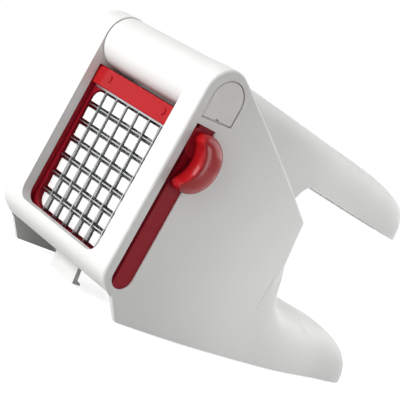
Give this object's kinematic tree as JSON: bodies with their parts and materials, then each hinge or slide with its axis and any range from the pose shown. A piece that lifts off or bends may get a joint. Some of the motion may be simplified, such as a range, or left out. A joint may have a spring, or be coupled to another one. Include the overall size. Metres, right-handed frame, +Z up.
{
  "type": "french fry cutter",
  "caption": "Lever-operated potato chip cutter: a hinged handle swings a peg pusher through a square blade grid in an open-fronted frame, with a sliding cut-off knife.",
  "frame": {"origin": "on the table under the middle of the length, half-way across the width", "axes": "+X towards the cheek with the knife knob, +Y from the front frame back along the handle, +Z up"},
  "size_m": [0.1068, 0.2414, 0.1276],
  "materials": {
    "white_plastic": "satin white ABS",
    "peg_plastic": "satin white ABS",
    "grey_plastic": "matt light grey",
    "cap_plastic": "satin warm grey",
    "red_plastic": "satin red",
    "red_gloss": "gloss red",
    "rubber": "matt",
    "steel": "turned",
    "blade_steel": "ground stainless"
  },
  "bodies": {
    "body": {"body_shell": "white_plastic", "chamber_floor": "white_plastic", "base_plate": "grey_plastic", "base_sole": "rubber", "base_screws": "steel", "pivot_axle": "steel", "pivot_cap_right": "cap_plastic", "pivot_cap_left": "cap_plastic", "cassette_frame": "red_plastic", "blades_vertical": "blade_steel", "blades_horizontal": "blade_steel", "blade_retainer": "red_plastic", "retainer_screws": "steel", "guide_rail_right": "red_plastic", "guide_rail_left": "red_plastic", "slot_liner": "red_plastic"},
    "lever": {"lever_arm": "white_plastic", "handle_cover": "white_plastic", "handle_screws": "steel", "hub_bush_right": "grey_plastic", "hub_bush_left": "grey_plastic", "pusher_plate": "peg_plastic", "pusher_screws": "steel"},
    "knife": {"knife_bar": "red_gloss", "knife_blade": "blade_steel", "knife_screws": "red_gloss", "knife_shoe": "red_plastic", "knife_knob": "red_gloss", "knob_screw": "steel"}
  },
  "joints": [
    {"name": "lever_hinge", "type": "hinge", "parent": "body", "child": "lever", "pos_m": [0, -0.1074, 0.114], "axis": [1, 0, 0], "range_deg": [0, 110]},
    {"name": "knife_slide", "type": "slide", "parent": "body", "child": "knife", "axis": [0, 0, -1], "range_m": [0, 0.065]}
  ]
}
